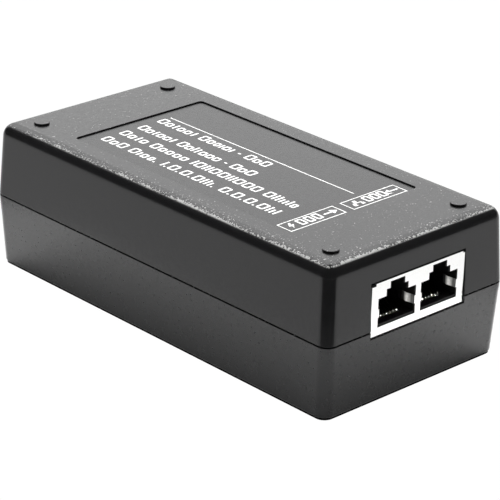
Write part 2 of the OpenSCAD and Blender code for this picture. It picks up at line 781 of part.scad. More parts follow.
module transformer_bobbin() color("#111111")
    translate([transformer_xy.x, transformer_xy.y, 0]) {
        flange_z = core_z + core_plate + 0.1;
        difference() {
            union() {
                span([-10.5, -13, board_top + 0.3], [10.5, -9.2, flange_z + 1]);
                span([-10.5, 9.2, board_top + 0.3], [10.5, 13, flange_z + 1]);
                span([-10.5, -13, board_top + 0.3], [10.5, 13, core_z - 0.1]);
                for (z = [flange_z, flange_z + window_h - 1.2])
                    translate([0, 0, z]) cylinder(r = 10.6, h = 1);
                translate([0, 0, flange_z]) cylinder(r = 6.4, h = window_h - 0.2);
                for (s = [-1, 1]) span([-6, s * 10.2 - 1.2, flange_z], [6, s * 10.2 + 1.2, flange_z + 1]);
            }
            translate([0, 0, flange_z - 1]) cylinder(r = 5.6, h = window_h + 2);
        }
        for (i = [0:5], s = [-1, 1]) lead((i - 2.5) * 3.6, s * 11.5, board_z - 1, board_top + 0.5);
    }

module transformer_winding() color("gold")
    translate([transformer_xy.x, transformer_xy.y, core_z + core_plate + 1.2]) difference() {
        cylinder(r = 10.3, h = window_h - 2.4);
        translate([0, 0, -1]) cylinder(r = 6.5, h = window_h);
    }

module secondary_heatsink() color("lightgray")
    difference() {
        union() {
            span([diode_x - sheet_t, -21, board_top + 0.2], [diode_x, -4.5, board_top + 22]);
            span([diode_x - sheet_t, -21, board_top + 20.5], [diode_x + 5, -4.5, board_top + 22]);
        }
        translate([diode_x - 3, diode_y, board_top + to220_lead_h + to220_hole_h])
            rotate([0, 90, 0]) cylinder(r = 1.55, h = 6);
    }

module output_diode() color("#242424")
    translate([diode_x, diode_y, board_top]) rotate([0, 0, 90]) to220();

module output_capacitors() color("#1f3a5f")
    for (y = output_cap_y) translate([output_cap_x, y, 0]) {
        translate([0, 0, board_top + 0.3]) can(10, 20);
        for (s = [-1, 1]) lead(s * 2.5, 0, board_z - 1, board_top + 1);
    }

module output_choke() color("#33443a") translate([output_choke_xy.x, output_choke_xy.y, 0]) {
    translate([0, 0, board_top + 0.2]) rotate_extrude() {
        square([5, 1]);
        square([3.6, 5.2]);
        translate([0, 4.2]) square([5, 1]);
    }
    for (s = [-1, 1]) lead(s * 3, 0, board_z - 1, board_top + 0.5);
}

module y_capacitor() color("steelblue")
    translate([y_cap_xy.x, y_cap_xy.y, 0]) rotate([0, 0, 90]) disc_part(8, 4, 7.5, 2);

module optocoupler() color("#f0f0f0") translate([opto_xy.x, opto_xy.y, board_top]) {
    span([-3, -2.3, 0.3], [3, 2.3, 3.6]);
    for (s = [-1, 1], t = [-1, 1]) {
        span([s * 3.3 - 0.15, t * 1.27 - 0.25, -2.6], [s * 3.3 + 0.15, t * 1.27 + 0.25, 2.1]);
        span([s * 3.15 - 0.3, t * 1.27 - 0.25, 1.8], [s * 3.15 + 0.3, t * 1.27 + 0.25, 2.1]);
    }
}

module power_controller() color("#1f1f1f")
    translate([23, -19.4, board_top]) gull_chip(4.9, 3.9, 1.5, 1.27, 4, 1.1);

top_cover();
bottom_case();
rating_label();
case_screws();
rubber_feet();
jack_shield();
jack_housing();
contact_carriers();
port_1_contact_leads();
port_2_contact_leads();
port_1_contact_springs();
port_2_contact_springs();
port_1_left_finger();
port_1_right_finger();
port_2_left_finger();
port_2_right_finger();
lan_pcb();
lan_magnetics();
pse_controller();
lan_board_resistors();
board_header();
header_pins();
board_spacers();
lan_board_screws();
main_pcb();
main_board_screws();
insulating_sheet();
ac_inlet_body();
inlet_power_pins();
inlet_earth_pin();
fuse();
ntc_thermistor();
varistor();
x_capacitor();
choke_core();
choke_windings();
choke_base();
bridge_rectifier();
bulk_capacitor();
primary_heatsink();
switching_transistor();
heatsink_screws();
transformer_core();
transformer_bobbin();
transformer_winding();
secondary_heatsink();
output_diode();
output_capacitors();
output_choke();
y_capacitor();
optocoupler();
power_controller();
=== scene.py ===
"""Looks of the PoE injector: its shells, label, jack, inlet and inner parts, in plain studio light.

Shapes are built in millimetres in the part's own frame and scaled to metres when they are finished.
"""

import json
import math

import bmesh
import bpy
from mathutils import Matrix, Vector

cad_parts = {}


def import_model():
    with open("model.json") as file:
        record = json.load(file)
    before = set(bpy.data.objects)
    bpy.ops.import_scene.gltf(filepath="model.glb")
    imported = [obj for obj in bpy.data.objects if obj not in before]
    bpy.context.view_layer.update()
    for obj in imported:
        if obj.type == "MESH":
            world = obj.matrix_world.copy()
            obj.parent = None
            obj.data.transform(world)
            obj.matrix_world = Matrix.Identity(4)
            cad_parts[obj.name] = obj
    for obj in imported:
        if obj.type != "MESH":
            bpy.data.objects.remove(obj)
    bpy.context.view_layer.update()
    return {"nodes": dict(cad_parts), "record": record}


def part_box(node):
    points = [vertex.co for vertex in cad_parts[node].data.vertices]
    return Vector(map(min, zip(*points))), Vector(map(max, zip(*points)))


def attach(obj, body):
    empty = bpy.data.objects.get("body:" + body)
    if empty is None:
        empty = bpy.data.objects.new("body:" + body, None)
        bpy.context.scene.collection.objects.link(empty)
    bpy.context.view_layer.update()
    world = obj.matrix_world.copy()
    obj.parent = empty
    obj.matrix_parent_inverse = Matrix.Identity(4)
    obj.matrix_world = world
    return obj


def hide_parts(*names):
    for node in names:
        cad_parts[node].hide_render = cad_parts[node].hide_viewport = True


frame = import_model()
nodes = frame["nodes"]
MM = 0.001


# ------------------------------------------------------------------ sizes, in millimetres


def box_mm(node):
    """Lowest and highest corner of a CAD node, in millimetres."""
    low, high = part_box(node)
    return low / MM, high / MM


case_low, case_high = box_mm("bottom_case")
cover_low, cover_high = box_mm("top_cover")
label_low, label_high = box_mm("rating_label")
jack_low, jack_high = box_mm("jack_shield")
inlet_low, _ = box_mm("ac_inlet_body")
board_low, _ = box_mm("main_pcb")

# The case: SPLIT_Z is the middle of the shadow gap between its two shells
CASE_HALF = (case_high.x, case_high.y)
BASE_Z = case_low.z
SHADOW_GAP = 0.3
SPLIT_Z = cover_low.z - SHADOW_GAP / 2
PIP_HEIGHT = 0.5
PIP_R = 2.0
ROOF_Z = cover_high.z - PIP_HEIGHT
WALL = 2.0
FLOOR_Z = BASE_Z + WALL
UPPER_SLOPE = math.tan(math.radians(2.95))
LOWER_SLOPE = math.tan(math.radians(3.0))
CORNER_R = 3.0
SMALLEST_CORNER_R = 0.15
TOP_EDGE_R = 3.5
BOTTOM_EDGE_R = 0.8
RIM_EDGE_R = 0.12
# Screw posts of the upper and the lower shell at the corners, and the bosses under the main board
POST_AT = (21.0, case_high.y - 8.5)
POST_R = 3.5
FOOT_POST_R = 4.5
SCREW_HEAD_Z = BASE_Z + 11.7
BOSS_AT = (23.0, (-30.0, 43.6))
BOSS_R = 2.75
# The label's recess, and the gap round its film
LABEL_HALF = (21.0, 38.5)
LABEL_CORNER_R = 1.0
LABEL_GAP = 0.15

# The network jack: each step of a port's opening is its width and its top
SHIELD_T = 0.25
JACK_BASE_Z = jack_high.z - 13.2
JACK_FACE_Y = jack_low.y
JACK_HALF_W = jack_high.x
# The shield's fold leaves a notch at each top corner: width and depth
LEFT_NOTCH = (1.3, 0.62)
RIGHT_NOTCH = (0.6, 0.4)
PORT_X = 13.97 / 2
PORT_LOW_Z = JACK_BASE_Z + 2.1
PORT_STEPS = [(12.25, JACK_BASE_Z + 9.2), (7.1, JACK_BASE_Z + 10.9), (4.7, JACK_BASE_Z + 12.5)]
FINGER_Z = (JACK_BASE_Z + 4.5, JACK_BASE_Z + 6.6)
FINGER_LIP = 0.35
CONTACT_BEND_Y = JACK_FACE_Y + 3.55

# The mains inlet
INLET_HALF = (13.5, 9.9)
INLET_MID_Z = inlet_low.z + INLET_HALF[1]
INLET_GAP = 0.2


# ------------------------------------------------------------------ mesh helpers


def arc(centre, radius, start, end, steps):
    """Points (inset, z) along an arc about centre, from angle start to angle end, in degrees."""
    points = []
    for i in range(steps + 1):
        a = math.radians(start + (end - start) * i / steps)
        points.append((centre[0] + radius * math.cos(a), centre[1] + radius * math.sin(a)))
    return points


def rounded_outline(half_x, half_y, radius, steps=8):
    """Points (x, y) round a rectangle with rounded corners, anticlockwise."""
    points = []
    for quarter, (sx, sy) in enumerate([(1, 1), (-1, 1), (-1, -1), (1, -1)]):
        for i in range(steps + 1):
            a = math.pi / 2 * (quarter + i / steps)
            points.append((sx * (half_x - radius) + radius * math.cos(a),
                           sy * (half_y - radius) + radius * math.sin(a)))
    return points


def circle_outline(radius, steps=40):
    """Points (x, y) round a circle."""
    turns = [2 * math.pi * i / steps for i in range(steps)]
    return [(radius * math.cos(a), radius * math.sin(a)) for a in turns]


def loft(rings):
    """Closed mesh through rings of equally many points, capped at both ends. Returns its bmesh."""
    bm = bmesh.new()
    rows = [[bm.verts.new(p) for p in ring] for ring in rings]
    count = len(rows[0])
    for low, high in zip(rows, rows[1:]):
        for i in range(count):
            j = (i + 1) % count
            bm.faces.new([low[i], low[j], high[j], high[i]])
    bm.faces.new(list(reversed(rows[0])))
    bm.faces.new(rows[-1])
    bmesh.ops.recalc_face_normals(bm, faces=bm.faces)
    return bm


def to_object(name, bm):
    """New object from a bmesh, which it frees."""
    mesh = bpy.data.meshes.new(name)
    bm.to_mesh(mesh)
    bm.free()
    obj = bpy.data.objects.new(name, mesh)
    bpy.context.scene.collection.objects.link(obj)
    return obj


def lathe(profile, x=0.0, y=0.0, steps=40):
    """Solid of revolution about an upright axis at (x, y). The profile is (radius, z), low end first."""
    rings = [[(x + px, y + py, z) for px, py in circle_outline(r, steps)] for r, z in profile]
    return to_object("lathe", loft(rings))


def block(low, high):
    """Box between two corners."""
    outline = [(low[0], low[1]), (high[0], low[1]), (high[0], high[1]), (low[0], high[1])]
    return to_object("block", loft([[(x, y, z) for x, y in outline] for z in (low[2], high[2])]))


def join(objects):
    """The objects' meshes as one object."""
    bm = bmesh.new()
    for obj in objects:
        bm.from_mesh(obj.data)
        bpy.data.objects.remove(obj)
    return to_object("joined", bm)


def apply_modifiers(obj):
    """Replaces the object's mesh by the one that its modifiers make."""
    evaluated = obj.evaluated_get(bpy.context.evaluated_depsgraph_get())
    mesh = bpy.data.meshes.new_from_object(evaluated)
    obj.modifiers.clear()
    obj.data = mesh


def combine(obj, operation, tools):
    """Boolean of obj with the tool objects, which are removed."""
    tool = join(tools)
    modifier = obj.modifiers.new(operation, "BOOLEAN")
    modifier.operation = operation
    modifier.solver = "EXACT"
    modifier.object = tool
    bpy.context.view_layer.update()
    apply_modifiers(obj)
    bpy.data.objects.remove(tool)


def flat_shape(name, loops, thickness, bevel=0.0):
    """Plate in the XY plane from closed outlines, inner ones being holes, from z = 0 to z = thickness."""
    curve = bpy.data.curves.new(name, "CURVE")
    curve.dimensions = "2D"
    curve.fill_mode = "BOTH"
    curve.extrude = thickness / 2 - bevel
    curve.bevel_depth = bevel
    curve.bevel_resolution = 2
    curve.offset = -bevel
    for loop in loops:
        spline = curve.splines.new("POLY")
        spline.points.add(len(loop) - 1)
        for point, (x, y) in zip(spline.points, loop):
            point.co = (x, y, 0, 1)
        spline.use_cyclic_u = True
    holder = bpy.data.objects.new(name, curve)
    bpy.context.scene.collection.objects.link(holder)
    bpy.context.view_layer.update()
    evaluated = holder.evaluated_get(bpy.context.evaluated_depsgraph_get())
    mesh = bpy.data.meshes.new_from_object(evaluated)
    bpy.data.objects.remove(holder)
    mesh.transform(Matrix.Translation((0, 0, thickness / 2)))
    bm = bmesh.new()
    bm.from_mesh(mesh)
    bmesh.ops.remove_doubles(bm, verts=bm.verts, dist=1e-4)
    bmesh.ops.recalc_face_normals(bm, faces=bm.faces)
    return to_object(name, bm)


def shade(obj, angle=35.0):
    """Smooth shading, broken at edges sharper than angle, with flat faces kept flat."""
    obj.data.shade_smooth()
    obj.data.set_sharp_from_angle(angle=math.radians(angle))
    weighted = obj.modifiers.new("flat_faces", "WEIGHTED_NORMAL")
    weighted.keep_sharp = True
    weighted.weight = 100


def finish_piece(obj, name, body, material, stands_for=()):
    """Names a piece built in millimetres, scales it to metres, and fixes it to its body."""
    obj.name = name
    obj.data.name = name
    obj.data.transform(Matrix.Scale(MM, 4))
    obj.data.materials.clear()
    obj.data.materials.append(material)
    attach(obj, body)
    if stands_for:
        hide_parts(*stands_for)
    return obj


# ------------------------------------------------------------------ materials


class Nodes:
    """Short way to build one material's nodes."""

    def __init__(self, name):
        """New material, with its shader and the object's coordinates."""
        self.material = bpy.data.materials.new(name)
        self.material.use_nodes = True
        self.tree = self.material.node_tree
        self.shader = self.tree.nodes["Principled BSDF"]
        self.place = self.tree.nodes.new("ShaderNodeTexCoord").outputs["Object"]

    def link(self, source, target):
        """Links an output to an input."""
        self.tree.links.new(source, target)

    def noise(self, size_mm, detail=2.0, roughness=0.5):
        """Noise with features of the given size."""
        node = self.tree.nodes.new("ShaderNodeTexNoise")
        node.inputs["Scale"].default_value = 1 / (size_mm * MM)
        node.inputs["Detail"].default_value = detail
        node.inputs["Roughness"].default_value = roughness
        self.link(self.place, node.inputs["Vector"])
        return node.outputs["Fac"]

    def stretched(self, scale):
        """The object's coordinates, scaled along each axis."""
        node = self.tree.nodes.new("ShaderNodeMapping")
        node.inputs["Scale"].default_value = scale
        self.link(self.place, node.inputs["Vector"])
        return node.outputs["Vector"]

    def axes(self):
        """X, Y and Z in the object's own frame, in metres."""
        node = self.tree.nodes.new("ShaderNodeSeparateXYZ")
        self.link(self.place, node.inputs["Vector"])
        return node.outputs["X"], node.outputs["Y"], node.outputs["Z"]

    def math(self, operation, first, second=None):
        """Result of a math node on one or two sockets or numbers."""
        node = self.tree.nodes.new("ShaderNodeMath")
        node.operation = operation
        for value, target in zip((first, second), node.inputs):
            if isinstance(value, (int, float)):
                target.default_value = value
            elif value is not None:
                self.link(value, target)
        return node.outputs["Value"]

    def ramp(self, value, low, high, from_low=0.35, from_high=0.65):
        """value, taken from one range to another and held there beyond its ends."""
        node = self.tree.nodes.new("ShaderNodeMapRange")
        node.inputs["From Min"].default_value = from_low
        node.inputs["From Max"].default_value = from_high
        node.inputs["To Min"].default_value = low
        node.inputs["To Max"].default_value = high
        self.link(value, node.inputs["Value"])
        return node.outputs["Result"]

    def mix(self, value, first, second):
        """Colour between two colours."""
        node = self.tree.nodes.new("ShaderNodeMix")
        node.data_type = "RGBA"
        node.inputs[6].default_value = (*first, 1)
        node.inputs[7].default_value = (*second, 1)
        self.link(value, node.inputs[0])
        return node.outputs[2]

    def bump(self, height, depth_mm):
        """Normal roughened by a height of depth_mm."""
        node = self.tree.nodes.new("ShaderNodeBump")
        node.inputs["Strength"].default_value = 1.0
        node.inputs["Distance"].default_value = depth_mm * MM
        self.link(height, node.inputs["Height"])
        return node.outputs["Normal"]

    def set(self, **values):
        """Constants on the shader's own sockets, with _ for a space in a socket's name."""
        for name, value in values.items():
            self.shader.inputs[name.replace("_", " ")].default_value = value

    def drive(self, name, source):
        """Links a result to one of the shader's sockets."""
        self.link(source, self.shader.inputs[name])


def shades(color, spread):
    """Two shades, a little darker and a little lighter than color."""
    return [c * (1 - spread) for c in color], [min(c * (1 + spread), 1) for c in color]


def grained_plastic(name, roughness, grain_mm, grain_depth_mm, specular, side_grain=1.0):
    """Moulded plastic with a spark-eroded grain, which can be fainter on the sides than on the top."""
    m = Nodes(name)
    m.drive("Roughness", m.ramp(m.noise(grain_mm * 2.6), roughness - 0.03, roughness + 0.04))
    grain = m.bump(m.noise(grain_mm, 3, 0.6), grain_depth_mm)
    strength = m.ramp(m.axes()[2], side_grain, 1.0, (ROOF_Z - 3.5) * MM, (ROOF_Z - 1.2) * MM)
    m.link(strength, grain.node.inputs["Strength"])
    m.drive("Normal", grain)
    m.set(Specular_IOR_Level=specular)
    return m


def mottle(m, color):
    """Faint, broad unevenness of the colour."""
    m.drive("Base Color", m.mix(m.noise(9), *shades(color, 0.12)))


def painted_edge_glints(m, color, speck_mm=0.42):
    """Painted highlight: pale spots in the colour where the grain would catch the light, along the edges of
    the top face.
    """
    x, y, z = m.axes()
    # Distances in from the edges of the top face
    reach_x, reach_y = [(half - 2.3) * MM for half in CASE_HALF]
    left = m.math("ADD", x, reach_x)
    right = m.math("SUBTRACT", reach_x, x)
    front = m.math("ADD", y, reach_y)
    back = m.math("SUBTRACT", reach_y, y)
    near = m.math("MINIMUM", left, front)
    inside = m.math("MINIMUM", near, m.math("MINIMUM", right, back))

    # Painted glints come in patches, fade away from the left and front edges, and are fainter along the
    # right one
    glint_near = m.ramp(near, 1.0, 0.0, 0.0, 4.5 * MM)
    glint_right = m.ramp(right, 0.3, 0.0, 0.0, 3 * MM)
    patches = m.ramp(m.noise(6), 0.7, 1.2, 0.35, 0.62)
    glint_amount = m.math("MULTIPLY", m.math("MAXIMUM", glint_near, glint_right), patches)
    # The painted glints are heaviest at the left front corner
    glint_amount = m.math("MULTIPLY", glint_amount, m.ramp(m.math("ADD", x, y), 1.0, 0.5, -90 * MM, 30 * MM))

    rim = m.ramp(near, 1.0, 0.0, 0.25 * MM, 0.9 * MM)
    level = m.math("ADD", m.noise(speck_mm, 1), m.math("MULTIPLY", glint_amount, 0.125))
    level = m.math("ADD", level, m.math("MULTIPLY", m.math("MULTIPLY", rim, glint_amount), 0.3))
    within = m.ramp(inside, 0.0, 1.0, -0.15 * MM, 0.0)
    high = m.ramp(z, 0.0, 1.0, (ROOF_Z - 0.8) * MM, (ROOF_Z - 0.5) * MM)
    specks = m.math("MULTIPLY", m.ramp(level, 0.0, 1.0, 0.7, 0.84), m.math("MULTIPLY", within, high))
    # The pale colour these specks take is a painted highlight
    m.drive("Base Color", m.mix(specks, color, (0.45, 0.45, 0.44)))


def smooth_plastic(name, color, roughness, specular=0.5, ripple_mm=1.2):
    """Plain moulded plastic or cured resin with a faint ripple."""
    m = Nodes(name)
    m.drive("Base Color", m.mix(m.noise(4), *shades(color, 0.1)))
    m.drive("Roughness", m.ramp(m.noise(1.5), roughness - 0.05, roughness + 0.06))
    m.drive("Normal", m.bump(m.noise(ripple_mm, 2), 0.01))
    m.set(Specular_IOR_Level=specular)
    return m.material


def brushed_metal(name, color, roughness, stretch=(60.0, 2500.0, 2500.0)):
    """Metal with fine scratches along the axis whose scale is the smallest."""
    m = Nodes(name)
    scratches = m.tree.nodes.new("ShaderNodeTexNoise")
    scratches.inputs["Scale"].default_value = 1.0
    scratches.inputs["Detail"].default_value = 3.0
    m.link(m.stretched(stretch), scratches.inputs["Vector"])
    m.drive("Base Color", m.mix(m.noise(6), *shades(color, 0.04)))
    m.drive("Roughness", m.ramp(scratches.outputs["Fac"], roughness - 0.04, roughness + 0.06))
    m.drive("Normal", m.bump(scratches.outputs["Fac"], 0.004))
    m.set(Metallic=1.0)
    return m.material


def mat_cover():
    """Black plastic with painted glints along the top's edges, standing in for its grain catching the
    light.
    """
    m = grained_plastic("cover_plastic", 0.22, 0.42, 0.03, specular=0.42, side_grain=0.1)
    painted_edge_glints(m, (0.0095, 0.0095, 0.01))
    return m.material


def mat_case():
    """Black plastic of the lower shell, nearly smooth."""
    m = grained_plastic("case_plastic", 0.24, 0.42, 0.03, specular=0.5, side_grain=0.02)
    mottle(m, (0.0105, 0.0105, 0.011))
    return m.material


def mat_label():
    """Black film with a finer, shallower grain."""
    m = grained_plastic("label_film", 0.25, 0.36, 0.012, specular=0.38)
    mottle(m, (0.0085, 0.0085, 0.009))
    return m.material


def mat_ink():
    """White print, slightly uneven."""
    m = Nodes("white_ink")
    m.drive("Base Color", m.mix(m.noise(0.5), (0.8, 0.8, 0.79), (0.88, 0.88, 0.87)))
    m.drive("Roughness", m.ramp(m.noise(0.8), 0.45, 0.6))
    m.drive("Normal", m.bump(m.noise(0.3), 0.006))
    return m.material


def mat_board(name, color, track_color):
    """Circuit board: a mask over faint tracks."""
    m = Nodes(name)
    tracks = m.tree.nodes.new("ShaderNodeTexBrick")
    tracks.inputs["Scale"].default_value = 1 / (7 * MM)
    tracks.inputs["Mortar Size"].default_value = 0.03
    tracks.inputs["Color1"].default_value = (*color, 1)
    tracks.inputs["Color2"].default_value = (*shades(color, 0.15)[0], 1)
    tracks.inputs["Mortar"].default_value = (*track_color, 1)
    m.link(m.place, tracks.inputs["Vector"])
    m.drive("Base Color", tracks.outputs["Color"])
    m.drive("Roughness", m.ramp(m.noise(2), 0.3, 0.42))
    m.drive("Normal", m.bump(m.noise(0.8), 0.006))
    return m.material


def mat_rubber():
    """Dark matt rubber."""
    m = Nodes("foot_rubber")
    m.drive("Base Color", m.mix(m.noise(2), (0.016, 0.016, 0.016), (0.03, 0.03, 0.03)))
    m.drive("Roughness", m.ramp(m.noise(0.8), 0.7, 0.85))
    m.drive("Normal", m.bump(m.noise(0.3, 3), 0.02))
    return m.material


def mat_windings():
    """Enamelled wire, wound close."""
    m = Nodes("copper_wire")
    wires = m.tree.nodes.new("ShaderNodeTexWave")
    wires.inputs["Scale"].default_value = 1 / (2.2 * MM)
    m.link(m.place, wires.inputs["Vector"])
    m.drive("Base Color", m.mix(wires.outputs["Fac"], (0.25, 0.06, 0.02), (0.62, 0.22, 0.07)))
    m.drive("Normal", m.bump(wires.outputs["Fac"], 0.1))
    m.set(Metallic=0.9, Roughness=0.28)
    return m.material


def mat_contacts():
    """Contact wire, bright at its front bend, with painted shade making it dull and dark behind the bend.
    """
    m = Nodes("contact_gold")
    y = m.axes()[1]
    # Painted shade: behind its front bend the wire's colour goes near black
    bright = m.ramp(y, 1.0, 0.0, (CONTACT_BEND_Y - 0.1) * MM, (CONTACT_BEND_Y + 0.2) * MM)
    m.drive("Base Color", m.mix(bright, (0.004, 0.004, 0.003), (0.95, 0.92, 0.84)))
    m.drive("Roughness", m.ramp(m.noise(1), 0.14, 0.2))
    m.drive("Normal", m.bump(m.noise(1.5), 0.002))
    m.set(Metallic=1.0)
    return m.material


def mat_leaf():
    """Tinned spring leaf, duller than the shield, with painted shade darkening it towards its root and its
    tip.
    """
    m = Nodes("tinned_leaf")
    y = m.axes()[1]
    # Painted shade: darker near the shield's edge at the root and deep inside the port at the tip; the
    # noise below is the leaf's own uneven tone
    root = m.ramp(y, 0.1, 1.0, (JACK_FACE_Y + 0.9) * MM, (JACK_FACE_Y + 2.0) * MM)
    tip = m.ramp(y, 1.0, 0.0, (JACK_FACE_Y + 2.3) * MM, (JACK_FACE_Y + 3.2) * MM)
    shade_and_tone = m.math("MULTIPLY", m.math("MULTIPLY", root, tip), m.ramp(m.noise(0.9), 0.7, 1.0))
    m.drive("Base Color", m.mix(shade_and_tone, (0.02, 0.02, 0.02), (0.95, 0.94, 0.9)))
    m.drive("Roughness", m.ramp(m.noise(0.5), 0.28, 0.36))
    m.drive("Normal", m.bump(m.noise(0.4), 0.02))
    m.set(Metallic=0.8)
    return m.material


materials = {
    "cover_plastic": mat_cover(),
    "case_plastic": mat_case(),
    "label_film": mat_label(),
    "foot_rubber": mat_rubber(),
    "contact_gold": mat_contacts(),
    "copper_wire": mat_windings(),
    "solder_mask": mat_board("solder_mask", (0.012, 0.11, 0.035), (0.03, 0.2, 0.07)),
    "phenolic_board": mat_board("phenolic_board", (0.42, 0.27, 0.12), (0.5, 0.36, 0.2)),
}

# Colour and roughness, then the scratches' scales along X, Y and Z where they aren't the usual ones
METALS = {
    "screw_steel": ((0.6, 0.6, 0.62), 0.3),
    "shield_nickel": ((0.95, 0.95, 0.94), 0.2),
    "pin_nickel": ((0.72, 0.71, 0.68), 0.22, (2500.0, 60.0, 2500.0)),
    "heatsink_alu": ((0.74, 0.75, 0.76), 0.32),
}

# Colour and roughness, then the specular level and the size of the ripple where they aren't the usual ones
PLASTICS = {
    "jack_plastic": ((0.006, 0.006, 0.006), 0.4, 0.3),
    "chip_epoxy": ((0.02, 0.02, 0.022), 0.5),
    "nylon": ((0.78, 0.75, 0.66), 0.42),
    "sheet_film": ((0.6, 0.54, 0.4), 0.6),
    "inlet_plastic": ((0.013, 0.013, 0.0135), 0.36),
    "fuse_brown": ((0.1, 0.035, 0.018), 0.3),
    "disc_green": ((0.03, 0.08, 0.05), 0.3, 0.5, 2.0),
    "disc_blue": ((0.02, 0.07, 0.3), 0.3, 0.5, 2.0),
    "film_yellow": ((0.7, 0.42, 0.03), 0.35),
    "ferrite": ((0.03, 0.03, 0.031), 0.55, 0.6, 0.5),
    "core_coat": ((0.03, 0.12, 0.06), 0.35),
    "bobbin_plastic": ((0.015, 0.015, 0.015), 0.5),
    "winding_tape": ((0.68, 0.45, 0.03), 0.25),
    "can_blue": ((0.015, 0.03, 0.13), 0.28),
    "opto_white": ((0.75, 0.75, 0.72), 0.35),
}

for name, look in METALS.items():
    materials[name] = brushed_metal(name, *look)
for name, look in PLASTICS.items():
    materials[name] = smooth_plastic(name, *look)


# ------------------------------------------------------------------ the case


def upper_skin(z):
    """How far the upper shell's side leans in at height z."""
    return UPPER_SLOPE * (z - SPLIT_Z)


def lower_skin(z):
    """How far the lower shell's side leans in at height z."""
    return LOWER_SLOPE * (SPLIT_Z - z)


def case_loft(profile):
    """Shell from a profile of (inset, z, corner radius), from its inner cap to its outer cap."""
    rings = []
    for inset, z, corner in profile:
        outline = rounded_outline(CASE_HALF[0] - inset, CASE_HALF[1] - inset, corner, 10)
        rings.append([(x, y, z) for x, y in outline])
    return to_object("shell", loft(rings))


def wall_frame(low, high, skin, side, chamfer=0.15):
    """Cutter for an opening in an end wall: a rectangle in X and Z that flares at the wall's skin.

    side is -1 for the -Y wall and 1 for the +Y wall. The skin is skin(z) inside the widest outline.
    """
    beyond = 1.5
    rings = []
    for out, grow in [(-WALL - 3, 0), (-chamfer, 0), (beyond, chamfer + beyond)]:
        corners = [(low[0] - grow, low[1] - grow), (high[0] + grow, low[1] - grow),
                   (high[0] + grow, high[1] + grow), (low[0] - grow, high[1] + grow)]
        rings.append([(x, side * (CASE_HALF[1] - skin(z) + out), z) for x, z in corners])
    return to_object("opening", loft(rings))


def jack_opening(skin):
    """Cutter for the jack's opening in the -Y wall."""
    half = JACK_HALF_W + 0.25
    return wall_frame((-half, JACK_BASE_Z - 0.1), (half, jack_high.z + 0.35), skin, -1, 0.08)


def inlet_opening(skin):
    """Cutter for the inlet's opening in the +Y wall."""
    half_x, half_z = INLET_HALF[0] + INLET_GAP, INLET_HALF[1] + INLET_GAP
    return wall_frame((-half_x, INLET_MID_Z - half_z), (half_x, INLET_MID_Z + half_z), skin, 1)


def corner_posts():
    """Places of the four screw posts."""
    return [(sx * POST_AT[0], sy * POST_AT[1]) for sx in (-1, 1) for sy in (-1, 1)]


def lathe_each(profile, places, steps=40):
    """The same solid of revolution at each place."""
    return [lathe(profile, x, y, steps) for x, y in places]


def cover_profile():
    """Section of the upper shell: ceiling, inner wall, joint with the lower shell, outer wall, top edge."""
    draft = math.degrees(math.atan(UPPER_SLOPE))
    rim_z = SPLIT_Z + SHADOW_GAP / 2
    lap_z = SPLIT_Z + 1.4
    inner_r, inner_corner_r, lap_corner_r = 0.75, 1.25, 2.0
    ceiling_z = ROOF_Z - WALL
    inner_edge_in = upper_skin(ceiling_z - inner_r) + WALL + inner_r
    profile = [(inset, z, inner_corner_r)
               for inset, z in arc((inner_edge_in, ceiling_z - inner_r), inner_r, 90, 180, 4)]
    profile.append((upper_skin(lap_z) + WALL, lap_z, lap_corner_r))
    profile.append((WALL / 2, lap_z, lap_corner_r))
    profile.append((WALL / 2, rim_z, lap_corner_r))
    for inset, z in arc((RIM_EDGE_R, rim_z + RIM_EDGE_R), RIM_EDGE_R, 270, 180 - draft, 4):
        profile.append((inset + upper_skin(rim_z), z, CORNER_R - inset))

    # The arc of the top edge meets the drafted wall and the roof without a kink
    edge_z = ROOF_Z - TOP_EDGE_R
    tangent_z = edge_z + TOP_EDGE_R * math.sin(math.radians(draft))
    edge_in = upper_skin(tangent_z) + TOP_EDGE_R * math.cos(math.radians(draft))
    for i in range(1, 6):
        z = rim_z + (tangent_z - rim_z) * i / 6
        profile.append((upper_skin(z), z, CORNER_R))
    for inset, z in arc((edge_in, edge_z), TOP_EDGE_R, 180 - draft, 90, 14):
        corner = CORNER_R - (inset - upper_skin(tangent_z))
        profile.append((inset, z, max(corner, SMALLEST_CORNER_R)))
    return profile


def pip_profile():
    """Section of a pip on the roof, with a rounded top edge."""
    edge_r = 0.22
    top_z = ROOF_Z + PIP_HEIGHT
    profile = [(PIP_R, ROOF_Z - 0.6), (PIP_R, top_z - edge_r)]
    for a in (30, 60, 90):
        profile.append((PIP_R - edge_r + edge_r * math.cos(math.radians(a)),
                        top_z - edge_r + edge_r * math.sin(math.radians(a))))
    return profile


def label_recess():
    """Cutter for the label's recess, with a broken edge at the roof."""
    broken, above = 0.1, 0.5
    rings = []
    for grow, z in [(0, label_low.z), (0, ROOF_Z - broken), (broken + above, ROOF_Z + above)]:
        outline = rounded_outline(LABEL_HALF[0] + grow, LABEL_HALF[1] + grow, LABEL_CORNER_R + grow, 8)
        rings.append([(x, y, z) for x, y in outline])
    return to_object("recess", loft(rings))


def inlet_ribs():
    """Two ribs inside the upper shell that hold the inlet's body."""
    near_x = INLET_HALF[0] + 0.4
    far_x = near_x + 1.3
    low_y, high_y = CASE_HALF[1] - 6.5, CASE_HALF[1] - 4.7
    low_z, high_z = SPLIT_Z + 1.5, ROOF_Z - 1
    return [block((-far_x, low_y, low_z), (-near_x, high_y, high_z)),
            block((near_x, low_y, low_z), (far_x, high_y, high_z))]


